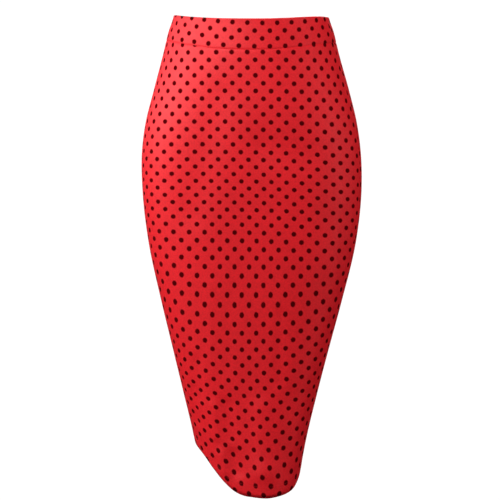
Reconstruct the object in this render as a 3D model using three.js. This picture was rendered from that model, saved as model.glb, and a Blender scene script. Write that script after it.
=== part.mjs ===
import * as THREE from "three";

// Pull-on pencil skirt of stretch knit, filled out and held open at the waist.
// Lengths in mm, +Z up, the front faces -Y, and the origin is the middle of the waist opening.

const panelWall = 1.2;
const bandWall = 2.4;
const hemWall = 2.4;
const hemDepth = 22;
const seamGap = 0.3;

// Places round the skirt are turns: degrees round its section, 0 at the middle of the front,
// 90 at the right, -90 at the left. The side seams lie a little forward of that on the right.
const rightSeam = 76;
const leftSeam = -104;

// One row per section: half width and depths to front and back, how square the section is,
// how far its left side lies back of its right side, and how far its middle lies to the right.
const sections = [
  { drop: -6, halfWidth: 118, front: 92, back: 84, square: 2.1, skew: 0, sway: 0 },
  { drop: 0, halfWidth: 119.5, front: 92, back: 84, square: 2.1, skew: 0, sway: 0 },
  { drop: 22, halfWidth: 127, front: 94, back: 88, square: 2.12, skew: 0, sway: 0 },
  { drop: 50, halfWidth: 133.8, front: 97, back: 93, square: 2.2, skew: 0, sway: 0 },
  { drop: 110, halfWidth: 150.2, front: 100.5, back: 107, square: 2.4, skew: 0, sway: 0.5 },
  { drop: 160, halfWidth: 162.8, front: 101.5, back: 117, square: 2.58, skew: 0, sway: 0.2 },
  { drop: 205, halfWidth: 168.9, front: 101.5, back: 120, square: 2.68, skew: 0, sway: 0.4 },
  { drop: 260, halfWidth: 169.6, front: 100.5, back: 117, square: 2.75, skew: 0, sway: 1.4 },
  { drop: 340, halfWidth: 161.6, front: 98.5, back: 107, square: 2.8, skew: 1, sway: 1.7 },
  { drop: 440, halfWidth: 139.7, front: 97, back: 100.5, square: 2.85, skew: 3, sway: 0.4 },
  { drop: 510, halfWidth: 122.2, front: 96.5, back: 98.5, square: 2.9, skew: 5, sway: -0.8 },
  { drop: 580, halfWidth: 105.1, front: 97, back: 98, square: 2.9, skew: 8, sway: -1.7 },
  { drop: 650, halfWidth: 88.8, front: 99, back: 99, square: 2.9, skew: 12, sway: -2.1 },
  { drop: 730, halfWidth: 75, front: 101, back: 101, square: 2.9, skew: 16, sway: -2.5 },
];

// One row per turn: the drops of the top edge, of the waist seam and of the hem. The waist dips in
// front and more behind, and the hem is pulled up on the left.
const edges = [
  { turn: -180, top: 8, waist: 50, hem: 716 },
  { turn: -135, top: 4, waist: 44, hem: 702 },
  { turn: -105, top: -2.5, waist: 37, hem: 672 },
  { turn: -74, top: -4.2, waist: 34.5, hem: 664 },
  { turn: -60, top: -3.1, waist: 36.4, hem: 669.8 },
  { turn: -40, top: -1.3, waist: 40, hem: 690 },
  { turn: -24, top: -0.1, waist: 44.2, hem: 707.8 },
  { turn: -11, top: 0.3, waist: 45.8, hem: 720.6 },
  { turn: 0, top: 0.4, waist: 46.4, hem: 727.2 },
  { turn: 12, top: 0.3, waist: 45.8, hem: 728.2 },
  { turn: 26, top: -0.6, waist: 43.2, hem: 726.2 },
  { turn: 44, top: -2.1, waist: 39.2, hem: 723.6 },
  { turn: 60, top: -2.6, waist: 38, hem: 719.6 },
  { turn: 76, top: -1.6, waist: 37.8, hem: 711 },
  { turn: 100, top: -0.2, waist: 38.6, hem: 706 },
  { turn: 135, top: 3.5, waist: 45, hem: 713.5 },
  { turn: 180, top: 8, waist: 50, hem: 716 },
];

// Largest folds, each a soft straight ridge (rise above 0) or trough: its two ends as lengths to the
// right of the middle of its half, seen from that side, and drops; how far it reaches to either
// side; and its rise.
const frontFolds = [
  { fromAcross: -58, fromDrop: 583, toAcross: -15, toDrop: 646, reach: 15, rise: -2.6 },
  { fromAcross: -74, fromDrop: 644, toAcross: -21, toDrop: 686, reach: 13, rise: 2 },
  { fromAcross: 28, fromDrop: 450, toAcross: 30, toDrop: 542, reach: 17, rise: -2 },
  { fromAcross: 11, fromDrop: 595, toAcross: 11, toDrop: 687, reach: 16, rise: 1.8 },
  { fromAcross: -93, fromDrop: 129, toAcross: -105, toDrop: 271, reach: 24, rise: -2 },
  { fromAcross: 16, fromDrop: 165, toAcross: 76, toDrop: 181, reach: 18, rise: -1.4 },
];
const backFolds = [
  { fromAcross: -70, fromDrop: 94, toAcross: 66, toDrop: 86, reach: 18, rise: -2.4 },
  { fromAcross: -92, fromDrop: 306, toAcross: -34, toDrop: 340, reach: 28, rise: -2 },
  { fromAcross: 86, fromDrop: 314, toAcross: 36, toDrop: 342, reach: 28, rise: -1.8 },
  { fromAcross: 64, fromDrop: 516, toAcross: -18, toDrop: 556, reach: 22, rise: -1.4 },
  { fromAcross: 70, fromDrop: 610, toAcross: 24, toDrop: 660, reach: 15, rise: 1.8 },
];

const columns = 40;
const panelRows = [0, 0.05, 0.1, 0.15, 0.2, 0.25, 0.3, 0.35, 0.4, 0.45, 0.5, 0.55, 0.6,
  0.65, 0.7, 0.74, 0.78, 0.81, 0.83, 0.85, 0.87, 0.89, 0.91, 0.93, 0.95, 0.97, 1];
const hemRows = [0.04, 0.5, 1];
const bandRows = [0, 0.5, 1];
const foldRadius = 0.8;
const samplesPerHalf = 120;
const tangentTurn = 0.5;

// A smooth curve through a table's rows: at each row it runs as the parabola through its
// neighbours does.
function curveThrough(places, values) {
  const slopes = values.slice(1).map((v, i) => (v - values[i]) / (places[i + 1] - places[i]));
  const tangents = values.map((_, i) => {
    const before = Math.max(i - 1, 0);
    const after = Math.min(i, slopes.length - 1);
    const nearer = (places[i] - places[before]) / (places[after + 1] - places[before]);
    return THREE.MathUtils.lerp(slopes[before], slopes[after], nearer);
  });
  // Between two rows the curve is a cubic that meets both with their tangents.
  return (place) => {
    const next = places.findIndex((p, i) => i > 0 && place <= p);
    const i = (next < 0 ? places.length - 1 : next) - 1;
    const span = places[i + 1] - places[i];
    const s = (place - places[i]) / span;
    const start = values[i] * (1 + 2 * s) + tangents[i] * span * s;
    const end = values[i + 1] * (3 - 2 * s) + tangents[i + 1] * span * (s - 1);
    return start * (1 - s) ** 2 + end * s ** 2;
  };
}

function curvesOf(table, place) {
  const places = table.map((row) => row[place]);
  const names = Object.keys(table[0]).filter((name) => name !== place);
  return Object.fromEntries(
    names.map((name) => [name, curveThrough(places, table.map((row) => row[name]))]),
  );
}

const sectionAt = curvesOf(sections, "drop");
const edgeAt = curvesOf(edges, "turn");

const signedPower = (value, power) => Math.sign(value) * Math.abs(value) ** power;

// A point of the outer surface: degrees round the section, and drop below the waist.
function outlinePoint(turn, drop) {
  const angle = THREE.MathUtils.degToRad(turn);
  const power = 2 / sectionAt.square(drop);
  const across = signedPower(Math.sin(angle), power);
  const along = signedPower(Math.cos(angle), power);
  const depth = along > 0 ? sectionAt.front(drop) : sectionAt.back(drop);
  return new THREE.Vector2(
    sectionAt.sway(drop) + sectionAt.halfWidth(drop) * across,
    -depth * along - sectionAt.skew(drop) * across,
  );
}

// The outline of a half of the skirt at one drop, from its start seam to its end seam: each
// sample's turn, and its length to the right of the middle of the half.
function outlineSamples(half, drop) {
  const samples = [];
  let length = 0;
  let last = outlinePoint(half.startTurn, drop);
  for (let i = 0; i <= samplesPerHalf; i++) {
    const turn = half.startTurn + (180 * i) / samplesPerHalf;
    const point = outlinePoint(turn, drop);
    length += point.distanceTo(last);
    samples.push({ turn, length });
    last = point;
  }
  const middle = samples.find((sample) => sample.turn >= half.middleTurn).length;
  return samples.map((sample) => ({ turn: sample.turn, across: sample.length - middle }));
}

// The turn and length across at a share of the way between a half's seams, at one drop.
function placeAt(half, share, drop) {
  const samples = outlineSamples(half, drop);
  const start = samples[0].across + seamGap / 2;
  const end = samples[samplesPerHalf].across - seamGap / 2;
  const across = THREE.MathUtils.lerp(start, end, share);
  const i = samples.findIndex((sample) => sample.across >= across);
  const before = samples[i - 1];
  const part = (across - before.across) / (samples[i].across - before.across);
  return { across, turn: THREE.MathUtils.lerp(before.turn, samples[i].turn, part) };
}

// How far the folds of a half push its surface out at one place.
function foldRise(folds, across, drop) {
  const place = new THREE.Vector3(across, drop, 0);
  const nearest = new THREE.Vector3();
  return folds.reduce((sum, fold) => {
    const line = new THREE.Line3(
      new THREE.Vector3(fold.fromAcross, fold.fromDrop, 0),
      new THREE.Vector3(fold.toAcross, fold.toDrop, 0),
    );
    line.closestPointToPoint(place, true, nearest);
    return sum + fold.rise * Math.exp(-((nearest.distanceTo(place) / fold.reach) ** 2));
  }, 0);
}

// The outer surface point at a share of a half and a drop, with its outward direction in plan.
function surfaceAt(half, share, drop) {
  const { across, turn } = placeAt(half, share, drop);
  const behind = outlinePoint(turn - tangentTurn, drop);
  const along = outlinePoint(turn + tangentTurn, drop).sub(behind);
  const outward = new THREE.Vector2(along.y, -along.x).normalize();
  const rise = foldRise(half.folds, across, drop);
  return { point: outlinePoint(turn, drop).addScaledVector(outward, rise), outward };
}

const front = { startTurn: leftSeam, middleTurn: 0, folds: frontFolds };
const back = { startTurn: rightSeam, middleTurn: 180, folds: backFolds };

// The drops of an edge of the skirt at every column of a half.
function edgeDrops(name, half) {
  const middleDrop = edgeAt[name](0);
  return Array.from({ length: columns + 1 }, (_, c) => {
    const { turn } = placeAt(half, c / columns, middleDrop);
    return edgeAt[name](turn > 180 ? turn - 360 : turn);
  });
}

const between = (from, to, share) => from.map((drop, c) => THREE.MathUtils.lerp(drop, to[c], share));
const lowered = (drops, length) => drops.map((drop) => drop + length);

// A closed wall of rows from top to bottom: each row has its drop at every column, and how far its
// outer and inner points lie inside the outer surface.
function wallGeometry(half, rows) {
  const outer = [];
  const inner = [];
  rows.forEach((row) =>
    row.drops.forEach((drop, c) => {
      const { point, outward } = surfaceAt(half, c / columns, drop);
      const outerPoint = point.clone().addScaledVector(outward, -row.outer);
      const innerPoint = point.clone().addScaledVector(outward, -row.inner);
      outer.push(outerPoint.x, outerPoint.y, -drop);
      inner.push(innerPoint.x, innerPoint.y, -drop);
    }),
  );
  const below = columns + 1;
  const inside = rows.length * below;
  const faces = [];
  const quad = (a, b, c, d) => faces.push(a, b, c, a, c, d);
  for (let r = 0; r + 1 < rows.length; r++) {
    const left = r * below;
    const right = left + columns;
    for (let i = left; i < right; i++) {
      quad(i, i + below, i + below + 1, i + 1);
      quad(i + inside, i + 1 + inside, i + below + 1 + inside, i + below + inside);
    }
    quad(left, left + inside, left + below + inside, left + below);
    quad(right, right + below, right + below + inside, right + inside);
  }
  const last = (rows.length - 1) * below;
  for (let c = 0; c < columns; c++) {
    const i = last + c;
    quad(c, c + 1, c + 1 + inside, c + inside);
    quad(i, i + inside, i + 1 + inside, i + 1);
  }
  const geometry = new THREE.BufferGeometry();
  geometry.setAttribute("position", new THREE.Float32BufferAttribute([...outer, ...inner], 3));
  geometry.setIndex(faces);
  geometry.computeVertexNormals();
  return geometry;
}

// A skirt panel hangs from just under the waist seam, with its hem turned up double on the inside.
function panelGeometry(half) {
  const top = lowered(edgeDrops("waist", half), seamGap);
  const hem = edgeDrops("hem", half);
  const hemTop = lowered(hem, -hemDepth);
  const body = panelRows.map((share) => ({
    drops: between(top, hemTop, share),
    outer: 0,
    inner: panelWall,
  }));
  const turnedUp = hemRows.map((share) => ({
    drops: between(hemTop, hem, share),
    outer: 0,
    inner: hemWall,
  }));
  return wallGeometry(half, [...body, ...turnedUp]);
}

// The waistband is folded over at its top edge, which is rounded by the fold.
function bandGeometry(half) {
  const top = edgeDrops("top", half);
  const rounded = lowered(top, foldRadius);
  const waist = edgeDrops("waist", half);
  const body = bandRows.map((share) => ({
    drops: between(rounded, waist, share),
    outer: 0,
    inner: bandWall,
  }));
  return wallGeometry(half, [{ drops: top, outer: foldRadius, inner: bandWall - foldRadius }, ...body]);
}

// Red stretch knit: a soft cloth with little shine.
function namedMesh(name, geometry) {
  const knit = new THREE.MeshStandardMaterial({ color: 0xd52a33, roughness: 0.7, metalness: 0 });
  const mesh = new THREE.Mesh(geometry, knit);
  mesh.name = name;
  return mesh;
}

const group = new THREE.Group();
group.add(
  namedMesh("waistband_front", bandGeometry(front)),
  namedMesh("waistband_back", bandGeometry(back)),
  namedMesh("skirt_front", panelGeometry(front)),
  namedMesh("skirt_back", panelGeometry(back)),
);

export default group;
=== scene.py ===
import bpy
import math
import numpy as np
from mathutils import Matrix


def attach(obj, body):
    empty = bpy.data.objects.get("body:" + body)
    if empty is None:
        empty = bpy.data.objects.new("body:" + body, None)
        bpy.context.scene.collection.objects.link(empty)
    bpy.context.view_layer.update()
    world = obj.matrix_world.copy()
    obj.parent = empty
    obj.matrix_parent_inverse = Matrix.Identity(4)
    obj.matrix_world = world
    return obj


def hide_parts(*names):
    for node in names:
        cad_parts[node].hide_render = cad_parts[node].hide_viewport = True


# Pull-on pencil skirt of dotted stretch knit. Its form is worked out in mm, as in the frame, and
# turned to metres where a mesh is made. The front faces -Y, and the origin is the middle of the
# waist opening. Drop is the length below the waist, turn is degrees round the skirt from the
# middle of the front, to the right.

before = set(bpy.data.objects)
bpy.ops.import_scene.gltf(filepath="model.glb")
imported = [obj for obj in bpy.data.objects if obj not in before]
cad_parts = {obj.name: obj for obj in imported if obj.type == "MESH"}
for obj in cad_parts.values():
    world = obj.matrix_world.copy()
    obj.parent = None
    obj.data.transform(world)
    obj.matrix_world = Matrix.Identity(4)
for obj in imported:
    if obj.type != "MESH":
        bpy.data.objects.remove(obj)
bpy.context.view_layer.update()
scene = bpy.context.scene
mm = 0.001
print("frame loaded:", ", ".join(sorted(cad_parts)))

# Form of the skirt. A row of each table is named by its columns.
sectionColumns = ("drop", "halfWidth", "front", "back", "square", "skew", "sway")
sections = [
    (-6, 118, 92, 84, 2.1, 0, 0),
    (0, 119.5, 92, 84, 2.1, 0, 0),
    (22, 127, 94, 88, 2.12, 0, 0),
    (50, 133.8, 97, 93, 2.2, 0, 0),
    (110, 150.2, 100.5, 107, 2.4, 0, 0.5),
    (160, 162.8, 101.5, 117, 2.58, 0, 0.2),
    (205, 168.9, 101.5, 120, 2.68, 0, 0.4),
    (260, 169.6, 100.5, 117, 2.75, 0, 1.4),
    (340, 161.6, 98.5, 107, 2.8, 1, 1.7),
    (440, 139.7, 97, 100.5, 2.85, 3, 0.4),
    (510, 122.2, 96.5, 98.5, 2.9, 5, -0.8),
    (580, 105.1, 97, 98, 2.9, 8, -1.7),
    (650, 88.8, 99, 99, 2.9, 12, -2.1),
    (730, 75, 101, 101, 2.9, 16, -2.5),
]
edgeColumns = ("turn", "top", "waist", "hem")  # drops of the top fold, the waist seam and the hem
edges = [
    (-180, 8, 50, 716),
    (-135, 4, 44, 702),
    (-105, -2.5, 37, 672),
    (-74, -4.2, 34.5, 664),
    (-60, -3.1, 36.4, 669.8),
    (-40, -1.3, 40, 690),
    (-24, -0.1, 44.2, 707.8),
    (-11, 0.3, 45.8, 720.6),
    (0, 0.4, 46.4, 727.2),
    (12, 0.3, 45.8, 728.2),
    (26, -0.6, 43.2, 726.2),
    (44, -2.1, 39.2, 723.6),
    (60, -2.6, 38, 719.6),
    (76, -1.6, 37.8, 711),
    (100, -0.2, 38.6, 706),
    (135, 3.5, 45, 713.5),
    (180, 8, 50, 716),
]
# Folds, then small creases: soft straight troughs (rise below 0) or ridges. Their ends are lengths
# to the right of the middle of the half, seen from that side, and drops; reach is how far one
# spreads to either side.
foldColumns = ("fromAcross", "fromDrop", "toAcross", "toDrop", "reach", "rise")
frontFolds = [
    (-58, 588, -54, 636, 8, 1.5),
    (-35, 586, -30, 636, 12, -2),
    (-46, 664, -40, 690, 9, 2.2),
    (-26, 662, -19, 688, 11, -2.8),
    (43, 446, 44, 548, 9, -1.1),
    (16, 590, 17, 690, 15, 2),
    (25, 692, 29, 722, 24, 4),
    (-12, 700, -6, 728, 16, 1.2),
    (-48, 118, -94, 290, 26, -2.3),
    (22, 190, 74, 204, 26, -2.2),
    (61, 570, 58, 686, 13, -1.2),
    (-62, 400, -60, 540, 9, 0.5),
    (-30, 400, -33, 530, 9, -0.5),
    (-86, 520, -82, 576, 9, -1.1),
    (-97, 566, -92, 616, 9, -1.6),
    (146, 300, 150, 360, 14, -1.1),
    (118, 400, 112, 440, 12, -0.7),
]
backFolds = [
    (-70, 94, 66, 86, 18, -2.4),
    (-92, 306, -34, 340, 28, -2),
    (86, 314, 36, 342, 28, -1.8),
    (64, 516, -18, 556, 22, -1.4),
    (70, 610, 24, 660, 15, 1.8),
    (-46, 360, 18, 372, 11, -0.9),
    (58, 372, 12, 384, 9, -0.7),
    (-64, 566, -30, 606, 11, -0.9),
    (-20, 668, 14, 690, 9, 0.7),
]
front = {"startTurn": -104, "middleTurn": 0, "folds": frontFolds}
back = {"startTurn": 76, "middleTurn": 180, "folds": backFolds}


def curveThrough(places, values):
    # smooth through the rows: at each one it runs as the parabola through its neighbours does
    places, values = np.asarray(places, float), np.asarray(values, float)
    slopes = np.diff(values) / np.diff(places)
    row = np.arange(len(places))
    before, after = np.maximum(row - 1, 0), np.minimum(row, len(slopes) - 1)
    nearer = (places - places[before]) / (places[after + 1] - places[before])
    tangents = slopes[before] + (slopes[after] - slopes[before]) * nearer

    def at(place):
        inside = np.clip(place, places[0], places[-1])
        i = np.clip(np.searchsorted(places, inside) - 1, 0, len(slopes) - 1)
        span = places[i + 1] - places[i]
        s = (inside - places[i]) / span
        start = values[i] * (1 + 2 * s) + tangents[i] * span * s
        end = values[i + 1] * (3 - 2 * s) + tangents[i + 1] * span * (s - 1)
        beyond = np.where(place < places[0], tangents[0], tangents[-1]) * (place - inside)
        return start * (1 - s) ** 2 + end * s ** 2 + beyond

    return at


def curvesOf(columns, rows):
    table = np.array(rows, float)
    return {name: curveThrough(table[:, 0], table[:, k]) for k, name in enumerate(columns) if k}


sectionAt = curvesOf(sectionColumns, sections)
edgeAt = curvesOf(edgeColumns, edges)


def signedPower(value, power):
    return np.sign(value) * np.abs(value) ** power


def outlinePoint(turn, drop):
    angle = np.radians(turn)
    power = 2 / sectionAt["square"](drop)
    across = signedPower(np.sin(angle), power)
    along = signedPower(np.cos(angle), power)
    depth = np.where(along > 0, sectionAt["front"](drop), sectionAt["back"](drop))
    x = sectionAt["sway"](drop) + sectionAt["halfWidth"](drop) * across
    return x, -depth * along - sectionAt["skew"](drop) * across


def foldRise(folds, across, drop):
    rise = 0
    for row in folds:
        fold = dict(zip(foldColumns, row))
        alongAcross = fold["toAcross"] - fold["fromAcross"]
        alongDrop = fold["toDrop"] - fold["fromDrop"]
        fromStart = across - fold["fromAcross"], drop - fold["fromDrop"]
        share = fromStart[0] * alongAcross + fromStart[1] * alongDrop
        share = np.clip(share / (alongAcross ** 2 + alongDrop ** 2), 0, 1)
        away = np.hypot(fromStart[0] - share * alongAcross, fromStart[1] - share * alongDrop)
        rise = rise + fold["rise"] * np.exp(-(away / fold["reach"]) ** 2)
    return rise


levels = np.arange(-8, 741, 4.0)  # drops at which the columns' places round a half are worked out
quarterSteps = 240
seamGap = 0.02                    # between the two cloths of a seam
share = np.arange(quarterSteps) / quarterSteps
quarterTurns = 90 * share ** 2 * (3 - 2 * share)  # closer together where the outline bends least
roundTurns = np.concatenate([quarter * 90 + quarterTurns for quarter in range(-2, 4)])


def columnsOf(half, shares=None, lengths=None):
    # the turn, the length across and the way to the nearest seam of each column at each level. The
    # columns are shares of the way between the half's seams, or lengths from its middle.
    start, end = half["startTurn"], half["startTurn"] + 180
    turns = np.concatenate([[start], roundTurns[(roundTurns > start) & (roundTurns < end)], [end]])
    turnRows, acrossRows, seamRows = [], [], []
    for level in levels:
        x, y = outlinePoint(turns, level)
        length = np.append(0, np.cumsum(np.hypot(np.diff(x), np.diff(y))))
        across = length - np.interp(half["middleTurn"], turns, length)
        if lengths is None:
            want = across[0] + seamGap / 2 + (across[-1] - across[0] - seamGap) * shares
            seamRows.append(np.minimum(want - across[0], across[-1] - want))
        else:
            want = lengths
            seamRows.append(np.abs(lengths))
        turnRows.append(np.interp(want, across, turns))
        acrossRows.append(want)
    return {"half": half, "turn": np.array(turnRows), "across": np.array(acrossRows),
            "toSeam": np.array(seamRows)}


def atDrops(table, drops):
    # a columns' table read at drops that differ from column to column
    place = np.clip((drops - levels[0]) / (levels[1] - levels[0]), 0, len(levels) - 1.001)
    i = place.astype(int)
    column = np.arange(table.shape[1])
    return table[i, column] + (place - i) * (table[i + 1, column] - table[i, column])


def surfacePoints(columns, drops, insets):
    # points that far inside the skirt's outer surface, in mm, and their lengths across
    turn, across = atDrops(columns["turn"], drops), atDrops(columns["across"], drops)
    x, y = outlinePoint(turn, drops)
    x1, y1 = outlinePoint(turn - 0.5, drops)
    x2, y2 = outlinePoint(turn + 0.5, drops)
    size = np.hypot(x2 - x1, y2 - y1)
    out = foldRise(columns["half"]["folds"], across, drops) - insets
    x, y = x + out * (y2 - y1) / size, y - out * (x2 - x1) / size
    return np.stack([x, y, -drops + 0 * x], -1), across


def edgeDrops(columns, name):
    turn = atDrops(columns["turn"], np.full(columns["turn"].shape[1], edgeAt[name](0)))
    return edgeAt[name](np.where(turn > 180, turn - 360, turn))


# Print: rows of dots in cells of 23.2 mm, and the same again between them. Each row of a table
# says how the print lies at one drop. Across, in cells: its shift at the middle, the cells in
# 100 mm, and how the sides close up. Down, in cells: the row at the middle, its tilt and its bow.
cell = 23.2
printColumns = ("drop", "shift", "perHundred", "close", "row", "tilt", "bow")
frontPrint = [
    (50, -0.25, 4.3, 0, -6.5, 0, -0.05),
    (210, -0.3, 4.45, -0.15, 0.5, -0.1, -0.1),
    (320, -0.3, 4.55, -0.2, 5.5, -0.1, -0.1),
    (400, -0.3, 4.6, -0.25, 8.5, 0, 0),
    (460, -0.35, 4.6, -0.3, 10.5, 0.05, 0.1),
    (535, -0.45, 4.6, -0.4, 13.5, 0.05, 0.25),
    (605, -0.7, 4.6, -0.5, 16.5, -0.1, 0.6),
    (655, -0.8, 4.55, -0.6, 18.6, -0.25, 0.75),
    (710, -0.95, 4.5, -0.7, 20.6, -0.4, 0.95),
]
backPrint = [
    (50, 0.2, 4.3, 0, -6, 0.05, 0.05),
    (250, 0.2, 4.4, -0.05, 2.75, 0, -0.1),
    (450, 0.1, 4.5, -0.1, 10.75, -0.05, 0.05),
    (725, 0.05, 4.4, -0.2, 21.5, 0, 0.2),
]
frontBandPrint = [
    (7, -0.25, 4.5, -0.1, -8.5, -0.1, 0.25),
    (46, -0.2, 4.3, -0.1, -6.8, -0.1, 0.25),
]
backBandPrint = [
    (0, 0.4, 4.5, -0.05, -8.5, 0.05, -0.1),
    (46, 0.4, 4.3, -0.05, -6.5, 0.05, -0.1),
]
pullReach = 1.25  # in half widths: how far round the sides the print is drawn out of line


def printCells(rows, across, drop):
    printAt = curvesOf(printColumns, rows)
    hundreds = across / 100
    limit = pullReach * sectionAt["halfWidth"](drop) / 100
    held = hundreds / (1 + (hundreds / limit) ** 4) ** 0.25
    u = printAt["shift"](drop) + printAt["perHundred"](drop) * hundreds
    u = u + printAt["close"](drop) * held ** 3
    v = printAt["row"](drop) + printAt["tilt"](drop) * held
    return u, v + printAt["bow"](drop) * held ** 2


def clothPiece(name, columns, path, wall, rows, materials):
    # one cloth along a path down the skirt, closed all round. The path's points have drops for
    # every column, the inset of the cloth's middle, the way it runs in (drop, inset), and the
    # drop it would have unfolded.
    drop, inset, runDrop, runInset, flatDrop = path
    inset = inset + seamRolled(atDrops(columns["toSeam"], drop))
    half = wall / 2
    faces, cells = [], []
    for side in (half, -half):
        points, across = surfacePoints(columns, drop + side * runInset, inset - side * runDrop)
        faces.append(points)
        cells.append(np.stack(printCells(rows, across, flatDrop), -1))
    count, width = drop.shape
    place = np.arange(count * width).reshape(count, width)
    other = place + count * width

    def quads(a, b, c, d):
        return np.stack([a, b, c, d], -1).reshape(-1, 4)

    shown = quads(place[:-1, :-1], place[1:, :-1], place[1:, 1:], place[:-1, 1:])
    behind = quads(other[:-1, :-1], other[:-1, 1:], other[1:, 1:], other[1:, :-1])
    rims = [
        quads(place[0, :-1], place[0, 1:], other[0, 1:], other[0, :-1]),
        quads(place[-1, :-1], other[-1, :-1], other[-1, 1:], place[-1, 1:]),
        quads(place[:-1, 0], other[:-1, 0], other[1:, 0], place[1:, 0]),
        quads(place[:-1, -1], place[1:, -1], other[1:, -1], other[:-1, -1]),
    ]
    allFaces = np.concatenate([shown, behind, *rims])
    mesh = bpy.data.meshes.new(name)
    mesh.from_pydata(np.concatenate([f.reshape(-1, 3) for f in faces]) * mm, [], allFaces.tolist())
    uvs = np.concatenate([c.reshape(-1, 2) for c in cells])[allFaces.ravel()]
    mesh.uv_layers.new(name="cloth").data.foreach_set("uv", uvs.astype(np.float32).ravel())
    for material in materials:
        mesh.materials.append(material)
    slots = np.ones(len(allFaces), np.int32)
    slots[:len(shown)] = 0
    mesh.polygons.foreach_set("material_index", slots)
    smooth = np.zeros(len(allFaces), bool)
    smooth[:2 * len(shown)] = True
    mesh.polygons.foreach_set("use_smooth", smooth)
    mesh.update()
    piece = bpy.data.objects.new(name, mesh)
    scene.collection.objects.link(piece)
    return piece


# Cut and sewing, in mm.
cut = {
    "wall": 1.1,       # one ply of the knit
    "plyGap": 0.2,     # between the two plies of the hem and of the band
    "hemDepth": 22,
    "seamDip": 0.55,   # how far the cloth rolls in at a seam
    "seamRoll": 1.5,   # and how far from the seam it starts to
    "hemDip": 3.4,     # the same at the hem's fold in front and behind, and less at the sides
    "hemRoll": 3.8,
    "innerShort": 1.2, # how far above the waist seam the band's inner ply ends
    "columns": 140,
    "panelRows": 200,
    "bandRows": 26,
    "hemRows": 12,
    "foldSteps": 8,
}
foldRadius = (cut["wall"] + cut["plyGap"]) / 2
seamSteps = np.array([0, 0.4, 0.8, 1.3, 2, 3, 4.5])  # finer rows and columns beside a seam
hemSteps = np.arange(8, -1, -1.0)  # finer rows down to the hem's fold
seamShares = seamSteps / 460
columnShares = np.concatenate([
    seamShares,
    np.linspace(seamShares[-1], 1 - seamShares[-1], cut["columns"])[1:-1],
    1 - seamShares[::-1],
])
frontColumns = columnsOf(front, columnShares)
backColumns = columnsOf(back, columnShares)


def seamRolled(distance):
    return cut["seamDip"] * np.exp(-(distance / cut["seamRoll"]) ** 2)


def hemRolled(columns, distance):
    turn = atDrops(columns["turn"], edgeDrops(columns, "hem"))
    return cut["hemDip"] * np.abs(np.cos(np.radians(turn))) * np.exp(-(distance / cut["hemRoll"]) ** 2)


def stackPath(rows):
    width = len(rows[0][0])
    return [np.array([np.broadcast_to(value, width) for value in line]) for line in zip(*rows)]


def panelPath(columns):
    # down from the waist seam, round the hem's fold and up inside it
    top = edgeDrops(columns, "waist") + seamGap
    hem = edgeDrops(columns, "hem")
    turnUp = hem - foldRadius - cut["wall"] / 2
    middle = cut["wall"] / 2
    rows = [(top + step, middle + seamRolled(step), 1, 0, top + step) for step in seamSteps[:-1]]
    start = top + seamSteps[-1]
    plain = turnUp - hemSteps[0] - 1 - start
    drops = [start + plain * share for share in np.linspace(0, 1, cut["panelRows"])]
    for drop in drops + [turnUp - step for step in hemSteps]:
        rows.append((drop, middle + hemRolled(columns, hem - drop), 1, 0, drop))
    for angle in np.linspace(0, math.pi, cut["foldSteps"] + 1)[1:]:
        drop = turnUp + foldRadius * math.sin(angle)
        inset = middle + hemRolled(columns, hem - drop) + foldRadius * (1 - math.cos(angle))
        rows.append((drop, inset, math.cos(angle), math.sin(angle), turnUp + foldRadius * angle))
    for share in np.linspace(0, 1, cut["hemRows"] + 1)[1:]:
        drop = turnUp + (hem - cut["hemDepth"] - turnUp) * share
        flatDrop = 2 * turnUp - drop + foldRadius * math.pi
        rows.append((drop, middle + hemRolled(columns, hem - drop) + 2 * foldRadius, -1, 0, flatDrop))
    return stackPath(rows)


def bandPath(columns):
    # up inside from the waist seam, over the band's top fold and down outside
    top = edgeDrops(columns, "top")
    waist = edgeDrops(columns, "waist")
    turnOver = top + foldRadius + cut["wall"] / 2
    middle = cut["wall"] / 2
    rows = []
    inner = waist - cut["innerShort"]
    for share in np.linspace(0, 1, cut["bandRows"]):
        drop = inner + (turnOver - inner) * share
        flatDrop = 2 * turnOver - drop - foldRadius * math.pi
        rows.append((drop, middle + 2 * foldRadius, -1, 0, flatDrop))
    for angle in np.linspace(0, math.pi, cut["foldSteps"] + 1)[1:]:
        drop = turnOver - foldRadius * math.sin(angle)
        inset = middle + foldRadius * (1 + math.cos(angle))
        flatDrop = turnOver - foldRadius * (math.pi - angle)
        rows.append((drop, inset, -math.cos(angle), -math.sin(angle), flatDrop))
    end = waist - seamSteps[-1]
    for share in np.linspace(0, 1, cut["bandRows"] + 1)[1:]:
        drop = turnOver + (end - turnOver) * share
        rows.append((drop, middle, 1, 0, drop))
    for step in seamSteps[-2::-1]:
        rows.append((waist - step, middle + seamRolled(step), 1, 0, waist - step))
    return stackPath(rows)


def linear(hexColour):
    # an sRGB hex colour as the linear values that Blender's sockets take
    parts = [int(hexColour[i:i + 2], 16) / 255 for i in (1, 3, 5)]
    return [p / 12.92 if p <= 0.04045 else ((p + 0.055) / 1.055) ** 2.4 for p in parts] + [1]


def addNode(tree, kind, inputs=None, **settings):
    # adds a node with its settings; an input is a value, or the socket that it is linked from
    made = tree.nodes.new(kind)
    for name, value in settings.items():
        setattr(made, name, value)
    for name, value in (inputs or {}).items():
        if isinstance(value, bpy.types.NodeSocket):
            tree.links.new(value, made.inputs[name])
        else:
            made.inputs[name].default_value = value
    return made


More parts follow.
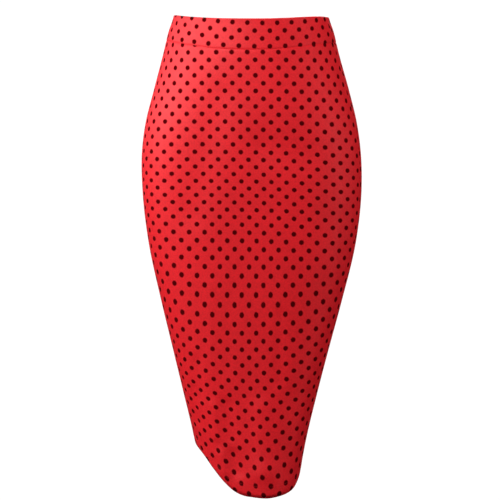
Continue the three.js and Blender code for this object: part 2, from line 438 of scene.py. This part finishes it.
# Polyester-elastane jersey, red with small black printed dots: a smooth face of fine loops whose
# bright filament yarn gives a broad soft gloss, and a matt print that lies a little below it.
knit = {
    "red": "#d3131d",
    "redPale": "#e0303a",     # the wrong side, where the print shows through weakly
    "ink": "#440204",
    "dotRadius": 3.6,        # mm
    "dotEdge": 0.95,          # mm over which the ink fades into the loops
    "inkWobble": 0.5,         # mm
    "waleWidth": 1.7,         # real wales are 0.6 mm: drawn coarser, so that they show at all
    "courseHeight": 1.3,
    "loopDepth": 0.12,        # mm
    "yarnGrain": 2.4,         # mm from thick to thin yarn, coarser than the real 1 mm so that it shows
    "unevenness": 0.1,        # of the colour
    "dentSize": 17,           # mm: faint dents left from folding, with their depth
    "dentDepth": 0.8,
    "roughness": 0.55,
    "inkRoughness": 1,
    "specular": 0.3,
    "inkSpecular": 0.02,
}


def knitMaterial(name, red, inkStrength, roughness):
    material = bpy.data.materials.new(name)
    material.use_nodes = True
    tree = material.node_tree
    tree.nodes.clear()
    cloth = addNode(tree, "ShaderNodeUVMap", uv_map="cloth").outputs[0]

    # distance in mm to the nearest dot of the two sets of rows
    distances = []
    for shift in (0.5, 0):
        moved = addNode(tree, "ShaderNodeVectorMath", {0: cloth, 1: (shift, shift, 0)}, operation="ADD")
        part = addNode(tree, "ShaderNodeVectorMath", {0: moved.outputs[0]}, operation="FRACTION")
        centred = addNode(tree, "ShaderNodeVectorMath", {0: part.outputs[0], 1: (0.5, 0.5, 0)},
                          operation="SUBTRACT")
        away = addNode(tree, "ShaderNodeVectorMath", {0: centred.outputs[0]}, operation="LENGTH")
        distances.append(away.outputs["Value"])
    nearest = addNode(tree, "ShaderNodeMath", {0: distances[0], 1: distances[1]}, operation="MINIMUM")
    inMm = addNode(tree, "ShaderNodeMath", {0: nearest.outputs[0], 1: cell}, operation="MULTIPLY")
    place = addNode(tree, "ShaderNodeTexCoord").outputs["Object"]
    grain = addNode(tree, "ShaderNodeTexNoise", {"Vector": place, "Scale": 1 / (1.4 * mm), "Detail": 1})
    wobble = addNode(tree, "ShaderNodeMapRange", {"Value": grain.outputs[0], "To Min": -knit["inkWobble"],
                                                  "To Max": knit["inkWobble"]})
    ragged = addNode(tree, "ShaderNodeMath", {0: inMm.outputs[0], 1: wobble.outputs[0]}, operation="ADD")
    ink = addNode(tree, "ShaderNodeMapRange", {
        "Value": ragged.outputs[0],
        "From Min": knit["dotRadius"] - knit["dotEdge"],
        "From Max": knit["dotRadius"] + knit["dotEdge"],
        "To Min": inkStrength,
        "To Max": 0,
    }, interpolation_type="SMOOTHSTEP").outputs[0]

    # loops: each wale is a column of small V shapes, one for each course
    loops = addNode(tree, "ShaderNodeVectorMath", {
        0: cloth, 1: (cell / knit["waleWidth"], cell / knit["courseHeight"], 0)}, operation="MULTIPLY")
    parts = addNode(tree, "ShaderNodeSeparateXYZ", {0: loops.outputs[0]})
    wale = addNode(tree, "ShaderNodeMath", {0: parts.outputs["X"], 1: 1}, operation="PINGPONG").outputs[0]
    slant = addNode(tree, "ShaderNodeMath", {0: wale, 1: 0.5, 2: parts.outputs["Y"]},
                    operation="MULTIPLY_ADD")
    course = addNode(tree, "ShaderNodeMath", {0: slant.outputs[0], 1: 0.5}, operation="PINGPONG").outputs[0]
    legs = addNode(tree, "ShaderNodeMath", {0: wale, 1: 0.5}, operation="SUBTRACT")
    legTop = addNode(tree, "ShaderNodeMath", {0: legs.outputs[0]}, operation="ABSOLUTE")
    height = addNode(tree, "ShaderNodeMath", {0: legTop.outputs[0], 1: -1.2, 2: course},
                     operation="MULTIPLY_ADD").outputs[0]
    dents = addNode(tree, "ShaderNodeTexNoise", {
        "Vector": place, "Scale": 1 / (knit["dentSize"] * mm), "Detail": 1.5, "Roughness": 0.45})
    relief = addNode(tree, "ShaderNodeMath", {
        0: dents.outputs[0], 1: knit["dentDepth"] / knit["loopDepth"], 2: height}, operation="MULTIPLY_ADD")
    bump = addNode(tree, "ShaderNodeBump", {"Height": relief.outputs[0], "Strength": 0.35,
                                            "Distance": knit["loopDepth"] * mm})

    # colour: the dye a little uneven over a hand's width and along the yarn, with painted shade that
    # darkens it down between the loops
    cloudy = addNode(tree, "ShaderNodeTexNoise", {"Vector": place, "Scale": 1 / (70 * mm), "Detail": 2})
    shade = addNode(tree, "ShaderNodeMapRange", {"Value": cloudy.outputs[0], "From Min": 0.3,
                                                 "From Max": 0.7, "To Min": 0.96, "To Max": 1.03})
    yarn = addNode(tree, "ShaderNodeTexNoise", {
        "Vector": place, "Scale": 1 / (knit["yarnGrain"] * mm), "Detail": 1, "Roughness": 0.6})
    uneven = addNode(tree, "ShaderNodeMapRange", {
        "Value": yarn.outputs[0], "From Min": 0.3, "From Max": 0.7,
        "To Min": 1 - knit["unevenness"], "To Max": 1 + knit["unevenness"]})
    # painted shade: the base colour is made darker where the loops' relief is low, down between them, where
    # shade would fall
    paintedLoopShade = addNode(tree, "ShaderNodeMapRange", {"Value": height, "From Min": -0.6, "From Max": 0.4,
                                                "To Min": 0.9, "To Max": 1.05})
    cloudyToneAndLoopShade = addNode(tree, "ShaderNodeMath", {0: shade.outputs[0], 1: paintedLoopShade.outputs[0]},
                      operation="MULTIPLY")
    # the red scaled by its uneven dye and by the painted shade between the loops
    depth = addNode(tree, "ShaderNodeMath", {0: cloudyToneAndLoopShade.outputs[0], 1: uneven.outputs[0]},
                    operation="MULTIPLY")
    dyed = addNode(tree, "ShaderNodeVectorMath", {0: linear(red)[:3], "Scale": depth.outputs[0]},
                   operation="SCALE")
    colour = addNode(tree, "ShaderNodeMix", {0: ink, 6: dyed.outputs[0], 7: linear(knit["ink"])},
                     data_type="RGBA")
    rough = addNode(tree, "ShaderNodeMapRange", {"Value": ink, "To Min": roughness,
                                                 "To Max": knit["inkRoughness"]})
    gloss = addNode(tree, "ShaderNodeMapRange", {"Value": ink, "To Min": knit["specular"],
                                                 "To Max": knit["inkSpecular"]})
    shader = addNode(tree, "ShaderNodeBsdfPrincipled", {
        "Base Color": colour.outputs[2],
        "Roughness": rough.outputs[0],
        "Normal": bump.outputs[0],
        "Specular IOR Level": gloss.outputs[0],
        "IOR": 1.5,
    })
    addNode(tree, "ShaderNodeOutputMaterial", {"Surface": shader.outputs[0]})
    return material


dottedKnit = knitMaterial("polyester-elastane jersey", knit["red"], 1, knit["roughness"])
knitBack = knitMaterial("jersey wrong side", knit["redPale"], 0.35, 0.8)
print("knit made")

panels, bands = [], []
for name, columns, node, rows in (
    ("frontPanelCloth", frontColumns, "skirt_front", frontPrint),
    ("backPanelCloth", backColumns, "skirt_back", backPrint),
):
    piece = clothPiece(name, columns, panelPath(columns), cut["wall"], rows, [dottedKnit, knitBack])
    panels.append((piece, node))
for name, columns, node, rows in (
    ("frontBandCloth", frontColumns, "waistband_front", frontBandPrint),
    ("backBandCloth", backColumns, "waistband_back", backBandPrint),
):
    piece = clothPiece(name, columns, bandPath(columns), cut["wall"], rows, [dottedKnit, knitBack])
    bands.append((piece, node))
print("cloth pieces made")

# Inside, each seam's edges are overlocked together and pressed flat: down at the waist, and to the
# back at the sides. They are drawn as one thicker strip that covers the seam.
allowance = {
    "width": 7,         # mm
    "overSeam": 0.9,    # how far it reaches past the seam
    "thick": 2,
    "clear": 0.12,      # from the cloth that it lies on
    "steps": 10,
}


def allowancePath(tops, ends, seam, rows):
    # straight down between two lines of drops, on the inside of the cloth
    inset = cut["wall"] + allowance["clear"] + allowance["thick"] / 2
    path = []
    for share in np.linspace(0, 1, rows):
        drop = tops + (ends - tops) * share
        path.append((drop, inset + seamRolled(drop - seam), 1, 0, drop))
    return stackPath(path)


strips, sideStrips = [], {}
for name, columns, rows in (("frontWaistAllowance", frontColumns, frontPrint),
                            ("backWaistAllowance", backColumns, backPrint)):
    waist = edgeDrops(columns, "waist")
    path = allowancePath(waist - allowance["overSeam"], waist + allowance["width"], waist,
                         allowance["steps"])
    strips.append(clothPiece(name, columns, path, allowance["thick"], rows, [knitBack, knitBack]))
sideLengths = np.linspace(-allowance["overSeam"], allowance["width"], allowance["steps"])
for name, seamTurn, lengths in (("rightSideAllowance", 76, sideLengths),
                                ("leftSideAllowance", -104, -sideLengths[::-1])):
    besideSeam = {"startTurn": seamTurn - 90, "middleTurn": seamTurn, "folds": []}
    columns = columnsOf(besideSeam, lengths=lengths)
    tops = edgeDrops(columns, "waist") + allowance["width"] + 0.8
    ends = edgeDrops(columns, "hem") - cut["hemDepth"] - 0.6
    sideStrips[name] = columns, tops, ends
    path = allowancePath(tops, ends, 0, cut["panelRows"])
    strips.append(clothPiece(name, columns, path, allowance["thick"], backPrint, [knitBack, knitBack]))
print("seam allowances made")

# Sewing thread, in mm: pitch from stitch to stitch, length of one, how thick, how high it arches,
# and its slant in degrees from the line of sewing.
hemNeedle = {"pitch": 2.8, "length": 2.1, "thread": 0.26, "arch": 0.12, "slant": 0, "rows": (15, 19)}
hemCover = {"pitch": 3.0, "length": 4.6, "thread": 0.4, "arch": 0.25, "slant": 62, "rows": (17,)}
overlock = {"pitch": 2.4, "length": 5.6, "thread": 0.4, "arch": 0.3, "slant": 74}
threadRed = "#c3121b"


def stitchTree(material):
    tree = bpy.data.node_groups.new("stitch row", "GeometryNodeTree")
    tree.interface.new_socket("Geometry", in_out="INPUT", socket_type="NodeSocketGeometry")
    for name in ("Pitch", "Length", "Thread", "Arch"):
        tree.interface.new_socket(name, in_out="INPUT", socket_type="NodeSocketFloat")
    tree.interface.new_socket("Geometry", in_out="OUTPUT", socket_type="NodeSocketGeometry")
    given = addNode(tree, "NodeGroupInput").outputs
    line = addNode(tree, "GeometryNodeMeshToCurve", {"Mesh": given["Geometry"]})
    spaced = addNode(tree, "GeometryNodeResampleCurve",
                     {"Curve": line.outputs[0], "Length": given["Pitch"]}, mode="LENGTH")
    ahead = addNode(tree, "ShaderNodeMath", {0: given["Length"], 1: 0.5}, operation="MULTIPLY")
    behind = addNode(tree, "ShaderNodeMath", {0: given["Length"], 1: -0.5}, operation="MULTIPLY")
    lift = addNode(tree, "ShaderNodeMath", {0: given["Arch"], 1: 2}, operation="MULTIPLY")
    start = addNode(tree, "ShaderNodeCombineXYZ", {"X": behind.outputs[0]})
    top = addNode(tree, "ShaderNodeCombineXYZ", {"Z": lift.outputs[0]})
    end = addNode(tree, "ShaderNodeCombineXYZ", {"X": ahead.outputs[0]})
    arch = addNode(tree, "GeometryNodeCurveQuadraticBezier", {
        "Resolution": 4, "Start": start.outputs[0], "Middle": top.outputs[0], "End": end.outputs[0]})
    radius = addNode(tree, "ShaderNodeMath", {0: given["Thread"], 1: 0.5}, operation="MULTIPLY")
    section = addNode(tree, "GeometryNodeCurvePrimitiveCircle",
                      {"Resolution": 5, "Radius": radius.outputs[0]})
    stitch = addNode(tree, "GeometryNodeCurveToMesh", {
        "Curve": arch.outputs[0], "Profile Curve": section.outputs[0], "Fill Caps": True})
    lie = addNode(tree, "GeometryNodeInputNamedAttribute", {"Name": "lie"}, data_type="FLOAT_VECTOR")
    out = addNode(tree, "GeometryNodeInputNamedAttribute", {"Name": "out"}, data_type="FLOAT_VECTOR")
    facing = addNode(tree, "FunctionNodeAlignRotationToVector", {"Vector": lie.outputs[0]}, axis="X")
    upright = addNode(tree, "FunctionNodeAlignRotationToVector", {
        "Rotation": facing.outputs[0], "Vector": out.outputs[0]}, axis="Z", pivot_axis="X")
    sewn = addNode(tree, "GeometryNodeInstanceOnPoints", {
        "Points": spaced.outputs[0], "Instance": stitch.outputs[0], "Rotation": upright.outputs[0]})
    real = addNode(tree, "GeometryNodeRealizeInstances", {"Geometry": sewn.outputs[0]})
    dyed = addNode(tree, "GeometryNodeSetMaterial", {"Geometry": real.outputs[0], "Material": material})
    addNode(tree, "NodeGroupOutput", {"Geometry": dyed.outputs[0]})
    return tree


def sewingLine(columns, drops, inset, side):
    # a line on the cloth and the way out from it: side is 1 outside the skirt and -1 inside it
    line = surfacePoints(columns, drops, inset)[0].reshape(-1, 3)
    further = surfacePoints(columns, drops, inset - side)[0].reshape(-1, 3)
    return line, further - line


def sewn(name, lines, thread, slants, tree):
    # stitches along each line, once for each slant, as one plain mesh
    points, outs, lies, joins, count = [], [], [], [], 0
    for line, out in lines:
        along = np.gradient(line, axis=0)
        along /= np.linalg.norm(along, axis=1, keepdims=True)
        across = np.cross(out, along)
        for slant in slants:
            angle = math.radians(slant)
            points.append(line + along * (thread["pitch"] / 4 if slant > 90 else 0))
            outs.append(out)
            lies.append(along * math.cos(angle) + across * math.sin(angle))
            joins += [(count + i, count + i + 1) for i in range(len(line) - 1)]
            count += len(line)
    path = bpy.data.meshes.new(name)
    path.from_pydata(np.concatenate(points) * mm, joins, [])
    for label, vectors in (("out", outs), ("lie", lies)):
        kept = path.attributes.new(label, "FLOAT_VECTOR", "POINT")
        kept.data.foreach_set("vector", np.concatenate(vectors).astype(np.float32).ravel())
    piece = bpy.data.objects.new(name, path)
    scene.collection.objects.link(piece)
    modifier = piece.modifiers.new(name, "NODES")
    modifier.node_group = tree
    for item in tree.interface.items_tree:
        if item.in_out == "INPUT" and item.name.lower() in thread:
            modifier[item.identifier] = thread[item.name.lower()] * mm
    seen = piece.evaluated_get(bpy.context.evaluated_depsgraph_get())
    piece.data = bpy.data.meshes.new_from_object(seen)
    piece.modifiers.remove(modifier)
    return piece


def threadMaterial():
    # Spun polyester sewing thread: a soft cord of two twisted plies, duller than the knit.
    material = bpy.data.materials.new("polyester sewing thread")
    material.use_nodes = True
    tree = material.node_tree
    tree.nodes.clear()
    place = addNode(tree, "ShaderNodeTexCoord").outputs["Object"]
    twist = addNode(tree, "ShaderNodeTexNoise", {"Vector": place, "Scale": 1 / (0.5 * mm)})
    shade = addNode(tree, "ShaderNodeMapRange", {"Value": twist.outputs[0], "To Min": 0.8, "To Max": 1.15})
    dyed = addNode(tree, "ShaderNodeVectorMath", {
        0: linear(threadRed)[:3], "Scale": shade.outputs[0]}, operation="SCALE")
    shader = addNode(tree, "ShaderNodeBsdfPrincipled", {"Base Color": dyed.outputs[0], "Roughness": 0.7})
    addNode(tree, "ShaderNodeOutputMaterial", {"Surface": shader.outputs[0]})
    return material


stitches = stitchTree(threadMaterial())
innerHem = 2 * cut["wall"] + cut["plyGap"]
onStrip = cut["wall"] + allowance["clear"] + allowance["thick"] + 0.05
clearOfSeams = columnShares[len(seamSteps):-len(seamSteps)]
sewing = []
for side, half in (("front", front), ("back", back)):
    columns = columnsOf(half, clearOfSeams)
    hem = edgeDrops(columns, "hem")[None]
    lines = [sewingLine(columns, hem - height, 0, 1) for height in hemNeedle["rows"]]
    sewing.append(sewn(side + "HemStitches", lines, hemNeedle, (hemNeedle["slant"],), stitches))
    lines = [sewingLine(columns, hem - height, innerHem + 0.05, -1) for height in hemCover["rows"]]
    slants = hemCover["slant"], 180 - hemCover["slant"]
    sewing.append(sewn(side + "HemCoverThread", lines, hemCover, slants, stitches))
    middle = edgeDrops(columns, "waist")[None] + allowance["width"] / 2
    slants = overlock["slant"], 180 - overlock["slant"]
    line = sewingLine(columns, middle, onStrip, -1)
    sewing.append(sewn(side + "WaistOverlock", [line], overlock, slants, stitches))
overlockSteps = 260
for name, (columns, tops, ends) in sideStrips.items():
    drops = np.linspace(tops + 2, ends - 2, overlockSteps)
    line = [part.reshape(overlockSteps, -1, 3)[:, allowance["steps"] // 2]
            for part in sewingLine(columns, drops, onStrip, -1)]
    sewing.append(sewn(name.replace("Allowance", "Overlock"), [line], overlock, slants, stitches))
print("seams and hem sewn")

# Studio: a pale floor well under the hem and a white dome behind it, soft light from the upper left.
studio = {
    "floorDrop": 3.2,      # m
    "floorRadius": 6.5,
    "white": "#f6f5f3",
    "domeRadius": 6.5,
    "ambient": 0.04,
}
softLights = [
    {"name": "key", "at": (-0.8, -2.0, 1.2), "aim": (0.0, 0.0, -0.3), "size": 1.0, "watts": 40},
    {"name": "left", "at": (-2.2, -0.6, 0.5), "aim": (0.0, 0.0, -0.3), "size": 1.2, "watts": 45},
    {"name": "near", "at": (-0.75, -0.9, 0.35), "aim": (0.0, 0.0, -0.2), "size": 0.5, "watts": 5},
    {"name": "rim", "at": (-1.7, 0.8, 0.45), "aim": (0.0, 0.0, -0.3), "size": 1.0, "watts": 8},
    {"name": "right", "at": (1.7, -1.5, 0.1), "aim": (0.0, 0.0, -0.3), "size": 1.2, "watts": 5},
    {"name": "rightFill", "at": (2.2, -0.4, 0.0), "aim": (0.0, 0.0, -0.3), "size": 1.6, "watts": 25},
    {"name": "topFill", "at": (0.0, 0.0, 1.5), "aim": (0.0, 0.0, 0.0), "size": 0.8, "watts": 12},
    {"name": "rear", "at": (0.4, 2.6, 1.3), "aim": (0.0, 0.0, -0.35), "size": 1.6, "watts": 75},
]


def studioMaterial(name, glow, diffuse):
    material = bpy.data.materials.new(name)
    material.use_nodes = True
    tree = material.node_tree
    tree.nodes.clear()
    shader = addNode(tree, "ShaderNodeBsdfPrincipled", {
        "Base Color": linear(studio["white"]) if diffuse else [0, 0, 0, 1],
        "Roughness": 0.9,
        "Specular IOR Level": 0,
        "Emission Color": [1, 1, 1, 1],
        "Emission Strength": glow,
    })
    addNode(tree, "ShaderNodeOutputMaterial", {"Surface": shader.outputs[0]})
    return material


def studioPiece(name, points, faces, material):
    mesh = bpy.data.meshes.new(name)
    mesh.from_pydata(points, [], faces)
    mesh.materials.append(material)
    piece = bpy.data.objects.new(name, mesh)
    scene.collection.objects.link(piece)
    piece.visible_diffuse = False
    piece.visible_glossy = False
    return piece


steps = 96
circle = [(math.cos(2 * math.pi * i / steps), math.sin(2 * math.pi * i / steps)) for i in range(steps)]
ring = [(x * studio["floorRadius"], y * studio["floorRadius"], -studio["floorDrop"]) for x, y in circle]
studioPiece("floor", ring, [list(range(steps))], studioMaterial("pale floor", 1.05, True))
heights = (-studio["floorDrop"], studio["domeRadius"])
wall = [(x * studio["domeRadius"], y * studio["domeRadius"], z) for z in heights for x, y in circle]
sides = [(i + steps, (i + 1) % steps + steps, (i + 1) % steps, i) for i in range(steps)]
dome = studioPiece("backdrop", wall, sides + [[steps + i for i in range(steps)][::-1]],
                   studioMaterial("white backdrop", 1.05, False))
dome.visible_shadow = False

world = bpy.data.worlds.new("studio")
world.use_nodes = True
world.node_tree.nodes["Background"].inputs["Color"].default_value = (1, 1, 1, 1)
world.node_tree.nodes["Background"].inputs["Strength"].default_value = studio["ambient"]
scene.world = world


def turnTowards(thing, target):
    direction = np.array(target) - np.array(thing.location)
    level = math.hypot(direction[0], direction[1])
    thing.rotation_euler = (math.pi / 2 + math.atan2(direction[2], level), 0,
                            math.atan2(-direction[0], direction[1]))


for light in softLights:
    lamp = bpy.data.lights.new(light["name"], "AREA")
    lamp.shape = "DISK"
    lamp.size = light["size"]
    lamp.energy = light["watts"]
    holder = bpy.data.objects.new(light["name"], lamp)
    holder.location = light["at"]
    turnTowards(holder, light["aim"])
    holder.visible_glossy = "Fill" not in light["name"]  # a fill so large that it leaves no highlight
    scene.collection.objects.link(holder)
print("studio lit")

# Camera: level with the waist, 2.8 m in front, looking 7.3 degrees down.
photoWidth = 500     # pixels
photoFocus = 1811    # pixels
lens = bpy.data.cameras.new("camera")
lens.sensor_width = 36
lens.lens = photoFocus / photoWidth * lens.sensor_width
camera = bpy.data.objects.new("camera", lens)
camera.location = (-0.0017, -2.8, 0)
camera.rotation_euler = (math.radians(90 - 7.3), 0, 0)
scene.collection.objects.link(camera)
scene.camera = camera
scene.view_settings.view_transform = "Standard"

# Each cloth piece stands in for its part of the frame, which is hidden, and the pieces sewn on to it are
# gathered by side. The knit is stretched by about a twentieth where it is filled out.
for piece, node in panels + bands:
    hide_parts(node)
    side = "back" if piece.name.startswith("back") else "front"
    sewnOn = [other for other in strips + sewing if other.name.startswith(side)]
    if side == "back":
        sewnOn += [other for other in strips + sewing if "Side" in other.name]
for piece in [piece for piece, node in panels + bands] + strips + sewing:
    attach(piece, "root")
